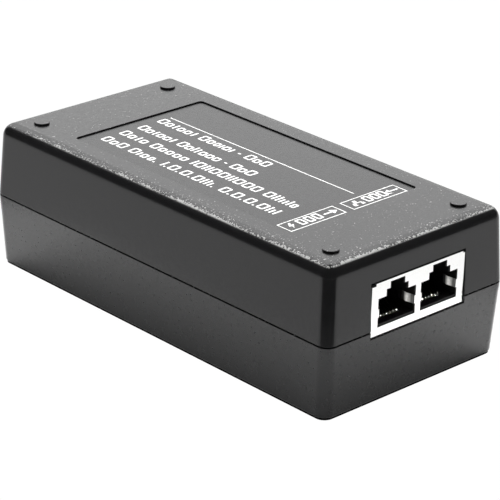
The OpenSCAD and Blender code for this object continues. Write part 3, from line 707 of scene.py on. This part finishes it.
def top_cover():
    """Upper shell with its pips, posts and ribs, and its openings."""
    shell = case_loft(cover_profile())
    post = [(POST_R, SPLIT_Z), (POST_R, ROOF_Z - WALL + 0.5)]
    pips = lathe_each(pip_profile(), corner_posts())
    combine(shell, "UNION", pips + lathe_each(post, corner_posts()) + inlet_ribs())
    screw_hole = [(1.5, SPLIT_Z - 1), (1.5, SPLIT_Z + 12)]
    openings = [label_recess(), jack_opening(upper_skin), inlet_opening(upper_skin)]
    combine(shell, "DIFFERENCE", openings + lathe_each(screw_hole, corner_posts(), 24))
    shade(shell)
    finish_piece(shell, "top_cover_shell", "housing", materials["cover_plastic"],
                 ["top_cover"])


def case_profile():
    """Section of the lower shell: floor, inner wall, tongue, rim, outer wall, bottom edge."""
    draft = math.degrees(math.atan(LOWER_SLOPE))
    rim_z = SPLIT_Z - SHADOW_GAP / 2
    tongue_z = SPLIT_Z + 1.2
    tongue_in = WALL / 2 + 0.05
    inner_corner_r, tongue_corner_r = 2.0, 1.4
    profile = [(lower_skin(FLOOR_Z) + WALL, FLOOR_Z, inner_corner_r), (WALL, SPLIT_Z - 1.5, inner_corner_r),
               (WALL, tongue_z, tongue_corner_r), (tongue_in, tongue_z, inner_corner_r),
               (tongue_in, rim_z, inner_corner_r)]
    for inset, z in arc((RIM_EDGE_R, rim_z - RIM_EDGE_R), RIM_EDGE_R, 90, 180 + draft, 4):
        profile.append((inset + lower_skin(rim_z), z, CORNER_R - inset))

    edge_z = BASE_Z + BOTTOM_EDGE_R
    tangent_z = edge_z - BOTTOM_EDGE_R * math.sin(math.radians(draft))
    edge_in = lower_skin(tangent_z) + BOTTOM_EDGE_R * math.cos(math.radians(draft))
    for i in range(1, 6):
        z = rim_z + (tangent_z - rim_z) * i / 6
        profile.append((lower_skin(z), z, CORNER_R))
    for inset, z in arc((edge_in, edge_z), BOTTOM_EDGE_R, 180 + draft, 270, 7):
        profile.append((inset, z, CORNER_R - (inset - lower_skin(tangent_z))))
    return profile


def foot_seat():
    """Section of the cutter for a foot's seat, and above it the case screw's head and shank."""
    seat_r, seat_mouth_r, head_r, shank_r = 4.2, 4.35, 3.0, 1.7
    step = 0.001
    return [(seat_mouth_r, BASE_Z - 1), (seat_mouth_r, BASE_Z - 0.01), (seat_r, BASE_Z + 0.14),
            (seat_r, BASE_Z + 1), (head_r, BASE_Z + 1 + step), (head_r, SCREW_HEAD_Z),
            (shank_r, SCREW_HEAD_Z + step), (shank_r, SPLIT_Z + 1)]


def bottom_case():
    """Lower shell with its posts, bosses, foot seats and openings."""
    shell = case_loft(case_profile())
    bosses = [(sx * BOSS_AT[0], y) for sx in (-1, 1) for y in BOSS_AT[1]]
    post = [(FOOT_POST_R, BASE_Z + 0.5), (FOOT_POST_R, SPLIT_Z)]
    boss = [(BOSS_R, BASE_Z + 1), (BOSS_R, board_low.z)]
    combine(shell, "UNION", lathe_each(post, corner_posts()) + lathe_each(boss, bosses))
    pilot = [(1.3, FLOOR_Z), (1.3, board_low.z + 1)]
    holes = lathe_each(foot_seat(), corner_posts()) + lathe_each(pilot, bosses, 24)
    combine(shell, "DIFFERENCE", holes + [jack_opening(lower_skin), inlet_opening(lower_skin)])
    shade(shell)
    finish_piece(shell, "bottom_case_shell", "housing", materials["case_plastic"],
                 ["bottom_case"])


# ------------------------------------------------------------------ the label


INK_T = 0.02
# How far the ink's lower side is below the film's surface
INK_SUNK = 0.004
STROKE = 0.5
BAR_W = 0.56
CAP = 3.15
LOW = 2.3


def mark_box(x, w, h):
    """Hollow box with rounded corners on the line Y = 0, as an outer and an inner outline."""
    def outline(inset, radius):
        points = rounded_outline(w / 2 - inset, h / 2 - inset, radius, 3)
        return [(x + w / 2 + px, h / 2 + py) for px, py in points]
    return [outline(0, 0.5), outline(STROKE, 0.12)]


def mark_bar(x, w, h, y=0.0):
    """Solid bar with slightly rounded corners. (x, y) is its lower left."""
    points = rounded_outline(w / 2, h / 2, min(w, h) * 0.2, 2)
    return [[(x + w / 2 + px, y + h / 2 + py) for px, py in points]]


# Marks that stand in for print: each one's width, and its boxes or bars at x
MARKS = {
    "B": (2.4, lambda x, w: mark_box(x, w, CAP)),
    "D": (2.0, lambda x, w: mark_box(x, w, CAP)),
    "b": (2.0, lambda x, w: mark_box(x, w, LOW)),
    "s": (1.6, lambda x, w: mark_box(x, w, LOW)),
    "w": (2.6, lambda x, w: mark_box(x, 1.6, LOW) + mark_bar(x + 2.06, 0.54, LOW)),
    "I": (BAR_W, lambda x, w: mark_bar(x, w, CAP)),
    "i": (BAR_W, lambda x, w: mark_bar(x, w, LOW)),
    "t": (1.15, lambda x, w: mark_bar(x + 0.3, BAR_W, LOW + 0.45)),
    "-": (1.0, lambda x, w: mark_bar(x, w, 0.5, 1.0)),
    ".": (BAR_W, lambda x, w: mark_bar(x, w, BAR_W)),
    " ": (0.75, lambda x, w: []),
}
MARK_GAP = 0.35


def mark_row(pattern, length):
    """Outlines of a row of marks, spread over the given length, starting at (0, 0) along +X."""
    natural = sum(MARKS[c][0] for c in pattern) + MARK_GAP * (len(pattern) - 1)
    gap = MARK_GAP + (length - natural) / (len(pattern) - 1)
    outlines, x = [], 0.0
    for c in pattern:
        width, draw = MARKS[c]
        outlines += draw(x, width)
        x += width + gap
    return outlines


def placed(outlines, at, turn=0.0):
    """Outlines turned by an angle in degrees and moved."""
    c, s = math.cos(math.radians(turn)), math.sin(math.radians(turn))
    return [[(at[0] + x * c - y * s, at[1] + x * s + y * c) for x, y in loop] for loop in outlines]


def rectangle(low, high, inset=0.0):
    """Corners of an upright rectangle, drawn in by inset."""
    return [(low[0] + inset, low[1] + inset), (high[0] - inset, low[1] + inset),
            (high[0] - inset, high[1] - inset), (low[0] + inset, high[1] - inset)]


def frame_lines(low, high, stroke=0.28):
    """Thin rectangular frame."""
    return [rectangle(low, high), rectangle(low, high, stroke)]


def arrow(points_right=True):
    """Arrow 4.4 long and 2.4 high, with its tip at Y = 1.3."""
    length, neck_x = 4.4, 2.5
    shape = [(0, 1.02), (neck_x, 1.02), (neck_x, 0.1), (length, 1.3),
             (neck_x, 2.5), (neck_x, 1.58), (0, 1.58)]
    return [shape if points_right else [(length - x, y) for x, y in shape]]


def bolt():
    """Lightning bolt, 1.9 wide and 2.8 high."""
    return [[(0.95, 2.8), (0.0, 1.2), (0.8, 1.2), (0.4, 0.0), (1.9, 1.75), (1.05, 1.75), (1.6, 2.8)]]


def network():
    """One box over two, joined by lines, 3.4 wide and 2.7 high."""
    width = 3.4
    left = [(1.2, 2.7), (1.2, 1.8), (1.52, 1.8), (1.52, 1.45), (0.3, 1.45), (0.3, 0.9), (0.0, 0.9),
            (0.0, 0.0), (0.95, 0.0), (0.95, 0.9), (0.6, 0.9), (0.6, 1.15)]
    return [left + [(width - x, y) for x, y in reversed(left)]]


def label_film():
    """Film that lies in the recess."""
    outline = rounded_outline(LABEL_HALF[0] - LABEL_GAP, LABEL_HALF[1] - LABEL_GAP,
                              LABEL_CORNER_R - LABEL_GAP, 8)
    film = flat_shape("film", [outline], label_high.z - label_low.z, 0.03)
    film.data.transform(Matrix.Translation((0, 0, label_low.z)))
    shade(film)
    finish_piece(film, "label_film", "housing", materials["label_film"], ["rating_label"])


# Rows of marks with their tops towards +X: the marks, x, the y where the row starts, and its length to -Y
PRINT_ROWS = [
    ("Bbtbbt Bbwbi - BbB", 2.6, 35.1, 40.2),
    ("Bbtbbt BbItbbb - BbB", -4.2, 34.8, 41.9),
    ("Bbtb Bbbbb IBIIBBIIBBB BIIiiIs", -10.1, 34.9, 63.1),
    ("BbB Bibs. I.B.B.BIIi. B.B.B.BIiI", -16.2, 34.7, 62.6),
]
# The long thin line beside the rows, and the two frames at the ports' end, by their corners
PRINT_LINE = ((7.05, -31.0), (7.35, 34.8))
PORT_FRAMES = [((-20.0, -38.0), (-2.1, -33.0)), ((0.3, -38.0), (18.3, -33.0))]
SIGN_Y = -36.8


def label_print():
    """White marks on the film, in place of print."""
    outlines = []
    for pattern, x, y, length in PRINT_ROWS:
        outlines += placed(mark_row(pattern, length), (x, y), -90)
    outlines.append(rectangle(*PRINT_LINE))
    for low, high in PORT_FRAMES:
        outlines += frame_lines(low, high)
    # The first frame holds a bolt, marks and an arrow out, the second one a network, marks and an arrow in
    out_signs = [(bolt(), -18.3, SIGN_Y), (mark_row("DDD", 7.1), -15.2, SIGN_Y - 0.05),
                 (arrow(), -7.2, SIGN_Y)]
    in_signs = [(network(), 2.0, SIGN_Y), (mark_row("DDD", 6.9), 6.4, SIGN_Y - 0.05),
                (arrow(False), 13.0, SIGN_Y)]
    for sign, x, y in out_signs + in_signs:
        outlines += placed(sign, (x, y))
    ink = flat_shape("ink", outlines, INK_T)
    ink.data.transform(Matrix.Translation((0, 0, label_high.z - INK_SUNK)))
    finish_piece(ink, "label_print", "housing", mat_ink())


# ------------------------------------------------------------------ the network jack


def port_outline(x):
    """Stepped opening of one port in the shield, as (x, z), with the lips of its ground fingers."""
    half = [w / 2 for w, _ in PORT_STEPS]
    tops = [z for _, z in PORT_STEPS]
    lip = half[0] - FINGER_LIP
    right = [(half[0], PORT_LOW_Z), (half[0], FINGER_Z[0]), (lip, FINGER_Z[0]), (lip, FINGER_Z[1]),
             (half[0], FINGER_Z[1]), (half[0], tops[0]), (half[1], tops[0]), (half[1], tops[1]),
             (half[2], tops[1]), (half[2], tops[2])]
    left = [(-px, z) for px, z in reversed(right)]
    return [(x + px, z) for px, z in right + left]


def shield_plate():
    """Front plate with the two ports and a notch at each top corner."""
    w, low, high = JACK_HALF_W, JACK_BASE_Z, jack_high.z
    corner, cut = 0.4, 0.12
    left_x, left_z = -w + LEFT_NOTCH[0], high - LEFT_NOTCH[1]
    right_x, right_z = w - RIGHT_NOTCH[0], high - RIGHT_NOTCH[1]
    outline = [(-w, low), (w - corner, low), (w - cut, low + cut), (w, low + corner), (w, right_z),
               (right_x, right_z), (right_x, high), (left_x, high), (left_x, left_z), (-w, left_z)]
    plate = flat_shape("plate", [outline, port_outline(-PORT_X), port_outline(PORT_X)], SHIELD_T, 0.05)
    # The plate lies in XY, so it is stood up in XZ with its outer side towards -Y
    stood_up = Matrix.Rotation(math.pi / 2, 4, "X")
    plate.data.transform(Matrix.Translation((0, JACK_FACE_Y + SHIELD_T, 0)) @ stood_up)
    return plate


def hood_section(inset):
    """The hood's section, up one side, over the top and down the other, as (x, z)."""
    w, high = JACK_HALF_W - inset, jack_high.z - inset
    radius = max(0.35 - inset, 0.1)
    points = [(w, JACK_BASE_Z)]
    for a in range(0, 91, 30):
        points.append((w - radius + radius * math.cos(math.radians(a)),
                       high - radius + radius * math.sin(math.radians(a))))
    return points + [(-x, z) for x, z in reversed(points)]


def shield_hood():
    """Sheet over the sides and the top, drawn along Y and open below, with the front plate's notches."""
    w, high = JACK_HALF_W, jack_high.z
    section = hood_section(0) + list(reversed(hood_section(SHIELD_T)))
    front_y = JACK_FACE_Y + SHIELD_T - 0.02
    hood = to_object("hood", loft([[(x, y, z) for x, z in section] for y in (front_y, jack_high.y)]))
    low_y, high_y = JACK_FACE_Y - 1, JACK_FACE_Y + 1.6
    notches = [block((-w - 1, low_y, high - LEFT_NOTCH[1]), (-w + LEFT_NOTCH[0], high_y, high + 1)),
               block((w - RIGHT_NOTCH[0], low_y, high - RIGHT_NOTCH[1]), (w + 1, high_y, high + 1))]
    combine(hood, "DIFFERENCE", notches)
    return hood


def shield_back():
    """Back plate, just inside the hood."""
    w = JACK_HALF_W - 0.02
    return block((-w, jack_high.y - SHIELD_T, JACK_BASE_Z), (w, jack_high.y - 0.01, jack_high.z - 0.02))


def shield_legs():
    """Leg on each side that goes into the board."""
    outer, inner = JACK_HALF_W, JACK_HALF_W - SHIELD_T
    low_y, high_y = JACK_FACE_Y + 8.7, JACK_FACE_Y + 10.3
    low_z, high_z = jack_low.z, JACK_BASE_Z + 0.05
    return [block((-outer, low_y, low_z), (-inner, high_y, high_z)),
            block((inner, low_y, low_z), (outer, high_y, high_z))]


def jack_shield():
    """Folded shield: a front plate with the two ports, and a hood over the top, the sides and the back."""
    shield = join([shield_plate(), shield_hood(), shield_back()] + shield_legs())
    shade(shield, 30)
    finish_piece(shield, "jack_shield_folded", "housing", materials["shield_nickel"],
                 ["jack_shield"])


# ------------------------------------------------------------------ pieces kept from the CAD model


# Edges sharper than this many degrees get a bevel
SHARP_ANGLE = 35.0


def soften(node, width_mm):
    """Breaks a CAD node's edges with a small bevel, after welding the seams between its faces."""
    obj = nodes[node]
    for attribute in ("custom_normal", "sharp_face", "sharp_edge"):
        if attribute in obj.data.attributes:
            obj.data.attributes.remove(obj.data.attributes[attribute])
    obj.data.shade_smooth()
    weld = obj.modifiers.new("seams", "WELD")
    weld.merge_threshold = 1e-6
    bevel = obj.modifiers.new("edges", "BEVEL")
    bevel.width = width_mm * MM
    bevel.segments = 2
    bevel.limit_method = "ANGLE"
    bevel.angle_limit = math.radians(SHARP_ANGLE)
    bevel.harden_normals = True
    weighted = obj.modifiers.new("flat_faces", "WEIGHTED_NORMAL")
    weighted.keep_sharp = True


# Widths of the bevels, in millimetres
USUAL_EDGE_WIDTH = 0.04
EDGE_WIDTHS = {
    "jack_housing": 0.08, "contact_carriers": 0.05, "ac_inlet_body": 0.25, "inlet_power_pins": 0.2,
    "inlet_earth_pin": 0.2, "lan_magnetics": 0.15, "pse_controller": 0.05, "power_controller": 0.05,
    "bridge_rectifier": 0.3, "x_capacitor": 0.3, "transformer_core": 0.2, "transformer_bobbin": 0.15,
    "primary_heatsink": 0.15, "secondary_heatsink": 0.15, "optocoupler": 0.1, "choke_base": 0.2,
    "case_screws": 0.1, "lan_board_screws": 0.1, "main_board_screws": 0.1, "heatsink_screws": 0.1,
}


def carried_over():
    """Materials and edges for the CAD nodes that stay."""
    leaf = mat_leaf()
    for row in frame["record"]["subparts"]:
        node, slot = row["node"], row["material_slot"]
        nodes[node].data.materials.clear()
        nodes[node].data.materials.append(leaf if node.endswith("_finger") else materials[slot])
        if not nodes[node].hide_render:
            soften(node, EDGE_WIDTHS.get(node, USUAL_EDGE_WIDTH))


# ------------------------------------------------------------------ camera, floor and light


def aim(obj, position, target, roll=0.0):
    """Puts a camera or a lamp at position, in millimetres, looking at target, turned by roll in degrees."""
    back = (Vector(position) - Vector(target)).normalized()
    right = Vector((0, 0, 1)).cross(back).normalized()
    up = back.cross(right)
    c, s = math.cos(math.radians(roll)), math.sin(math.radians(roll))
    turned = Matrix((right * c + up * s, up * c - right * s, back)).transposed().to_4x4()
    obj.matrix_world = Matrix.Translation(Vector(position) * MM) @ turned


def camera():
    """Long lens, low over the corner between the long side and the ports' end."""
    data = bpy.data.cameras.new("camera")
    data.lens = 174.7
    data.sensor_width = 36.0
    data.clip_start, data.clip_end = 0.05, 20
    cam = bpy.data.objects.new("camera", data)
    bpy.context.scene.collection.objects.link(cam)
    bpy.context.scene.camera = cam
    target = Vector((5.10, 2.0, 12.57))
    azimuth, elevation, distance = math.radians(-43.48), math.radians(23.69), 604.4
    back = Vector((math.sin(azimuth) * math.cos(elevation), -math.cos(azimuth) * math.cos(elevation),
                   math.sin(elevation)))
    aim(cam, target + back * distance, target, 1.42)


def softbox(name, azimuth, elevation, distance, size, radiance, target=(0, 0, 20)):
    """Area lamp that the camera doesn't see. Size is (width, height) in millimetres.

    Azimuth is the lamp's direction from the target, turned from +X towards +Y.
    """
    data = bpy.data.lights.new(name, "AREA")
    data.shape = "RECTANGLE"
    data.size, data.size_y = size[0] * MM, size[1] * MM
    # An area lamp of power P has radiance P / (pi * area)
    data.energy = radiance * math.pi * data.size * data.size_y
    lamp = bpy.data.objects.new(name, data)
    bpy.context.scene.collection.objects.link(lamp)
    a, e = math.radians(azimuth), math.radians(elevation)
    away = Vector((math.cos(a) * math.cos(e), math.sin(a) * math.cos(e), math.sin(e)))
    aim(lamp, Vector(target) + away * distance, target)
    lamp.visible_camera = False
    return lamp


# Brightness of the floor and the background as the camera sees them
CAMERA_WHITE = 1.01


def clear_from_below(m, shader):
    """Shows the shader on the upper side and nothing on the lower side."""
    below = m.tree.nodes.new("ShaderNodeMixShader")
    clear = m.tree.nodes.new("ShaderNodeBsdfTransparent")
    side = m.tree.nodes.new("ShaderNodeNewGeometry")
    m.link(side.outputs["Backfacing"], below.inputs["Fac"])
    m.link(shader, below.inputs[1])
    m.link(clear.outputs["BSDF"], below.inputs[2])
    m.link(below.outputs["Shader"], m.tree.nodes["Material Output"].inputs["Surface"])


def floor():
    """Large pale floor, which the camera sees as plain white, and which is clear from below."""
    bm = bmesh.new()
    bmesh.ops.create_grid(bm, x_segments=1, y_segments=1, size=6000)
    plane = to_object("floor", bm)
    plane.data.transform(Matrix.Scale(MM, 4))
    m = Nodes("floor_white")
    m.drive("Base Color", m.mix(m.noise(40), (0.9, 0.9, 0.9), (0.93, 0.93, 0.93)))
    m.set(Roughness=1.0, Specular_IOR_Level=0.0, Emission_Color=(1, 1, 1, 1), Emission_Strength=0.1)
    seen = m.tree.nodes.new("ShaderNodeEmission")
    seen.inputs["Strength"].default_value = CAMERA_WHITE
    pick = m.tree.nodes.new("ShaderNodeMixShader")
    path = m.tree.nodes.new("ShaderNodeLightPath")
    m.link(path.outputs["Is Camera Ray"], pick.inputs["Fac"])
    m.link(m.shader.outputs["BSDF"], pick.inputs[1])
    m.link(seen.outputs["Emission"], pick.inputs[2])
    clear_from_below(m, pick.outputs["Shader"])
    plane.data.materials.append(m.material)


def ring_card(name, inner, outer, z):
    """Flat card between two outlines of equally many points."""
    bm = bmesh.new()
    rows = [[bm.verts.new((x, y, z)) for x, y in outline] for outline in (inner, outer)]
    for i in range(len(inner) - 1):
        bm.faces.new([rows[0][i], rows[1][i], rows[1][i + 1], rows[0][i + 1]])
    return to_object(name, bm)


def dark_card():
    """Dark ring segment on the floor round the case's near corner, for the sides to reflect."""
    start, sweep, steps = 165, 124, 24
    turns = [math.radians(start + sweep * i / steps) for i in range(steps + 1)]
    edges = []
    for r in (45, 900):
        edges.append([(r * math.cos(a) - CASE_HALF[0], r * math.sin(a) - CASE_HALF[1]) for a in turns])
    return ring_card("dark_card", edges[0], edges[1], 0.1)


def pale_card():
    """Pale card all round the case, below the dark one."""
    edges = []
    for out in (32, 1500):
        edge = rounded_outline(CASE_HALF[0] + out, CASE_HALF[1] + out, CORNER_R + out)
        edges.append(edge + edge[:1])
    return ring_card("pale_card", edges[0], edges[1], 0.05)


def painted_contact_shadow():
    """Dark sheet that fills the gap under the case: a painted contact shadow, seen as a dark line along the
    bottom edge.
    """
    inset = lower_skin(BASE_Z) + 0.32
    outline = rounded_outline(CASE_HALF[0] - inset, CASE_HALF[1] - inset, CORNER_R - 0.45)
    bm = bmesh.new()
    bm.faces.new([bm.verts.new((x, y, 0.02)) for x, y in outline])
    return to_object("painted_contact_shadow", bm)


def floor_cards():
    """Two cards on the floor that only reflections see, and the dark sheet under the case that paints its
    contact shadow.
    """
    dark, pale, shadow_sheet = dark_card(), pale_card(), painted_contact_shadow()
    for obj, glow in ((dark, 0.0), (pale, 1.0), (shadow_sheet, 0.0)):
        obj.data.transform(Matrix.Scale(MM, 4))
        m = Nodes(obj.name)
        m.drive("Base Color", m.mix(m.noise(20), (0.004, 0.004, 0.004), (0.006, 0.006, 0.006)))
        m.set(Roughness=1.0, Specular_IOR_Level=0.0, Emission_Color=(1, 1, 1, 1), Emission_Strength=glow)
        clear_from_below(m, m.shader.outputs["BSDF"])
        obj.data.materials.append(m.material)
    for card in (dark, pale):
        card.visible_camera = False
        card.visible_diffuse = False
        card.visible_shadow = False
        card.visible_transmission = False


def world():
    """White to the camera, dim to everything else."""
    w = bpy.data.worlds.new("studio")
    bpy.context.scene.world = w
    w.use_nodes = True
    tree = w.node_tree
    background = tree.nodes["Background"]
    path = tree.nodes.new("ShaderNodeLightPath")
    pick = tree.nodes.new("ShaderNodeMix")
    pick.data_type = "RGBA"
    pick.inputs[6].default_value = (0.04, 0.04, 0.04, 1)
    pick.inputs[7].default_value = (CAMERA_WHITE, CAMERA_WHITE, CAMERA_WHITE, 1)
    tree.links.new(path.outputs["Is Camera Ray"], pick.inputs[0])
    tree.links.new(pick.outputs[2], background.inputs["Color"])


def jack_lamp():
    """Small lamp that lights only the contacts and the ground fingers inside the two ports."""
    lamp = softbox("jack_lamp", 251, 18, 400, (90, 90), 480.0, (0, JACK_FACE_Y, JACK_BASE_Z + 5))
    lit = bpy.data.collections.new("lit_by_jack_lamp")
    for name in nodes:
        if name.endswith(("_contact_springs", "_contact_leads", "_finger")):
            lit.objects.link(nodes[name])
    lamp.light_linking.receiver_collection = lit


def studio():
    """Camera, floor, background and lamps."""
    camera()
    floor()
    world()
    floor_cards()
    softbox("back_softbox", 47, 37, 1500, (2800, 1750), 1.82)
    softbox("edge_strip", 46, 48, 1450, (2400, 420), 1.7)
    overhead = softbox("overhead", 47, 85, 1400, (1800, 1800), 1.9)
    key = softbox("key", 47, 24, 1500, (2000, 2000), 4.0)
    # These two light the floor, the print and the plastic's own colour without showing as reflections
    for lamp in (overhead, key):
        lamp.visible_glossy = False
    jack_lamp()
    bpy.context.scene.view_settings.view_transform = "Standard"


studio()
top_cover()
bottom_case()
label_film()
label_print()
jack_shield()
carried_over()
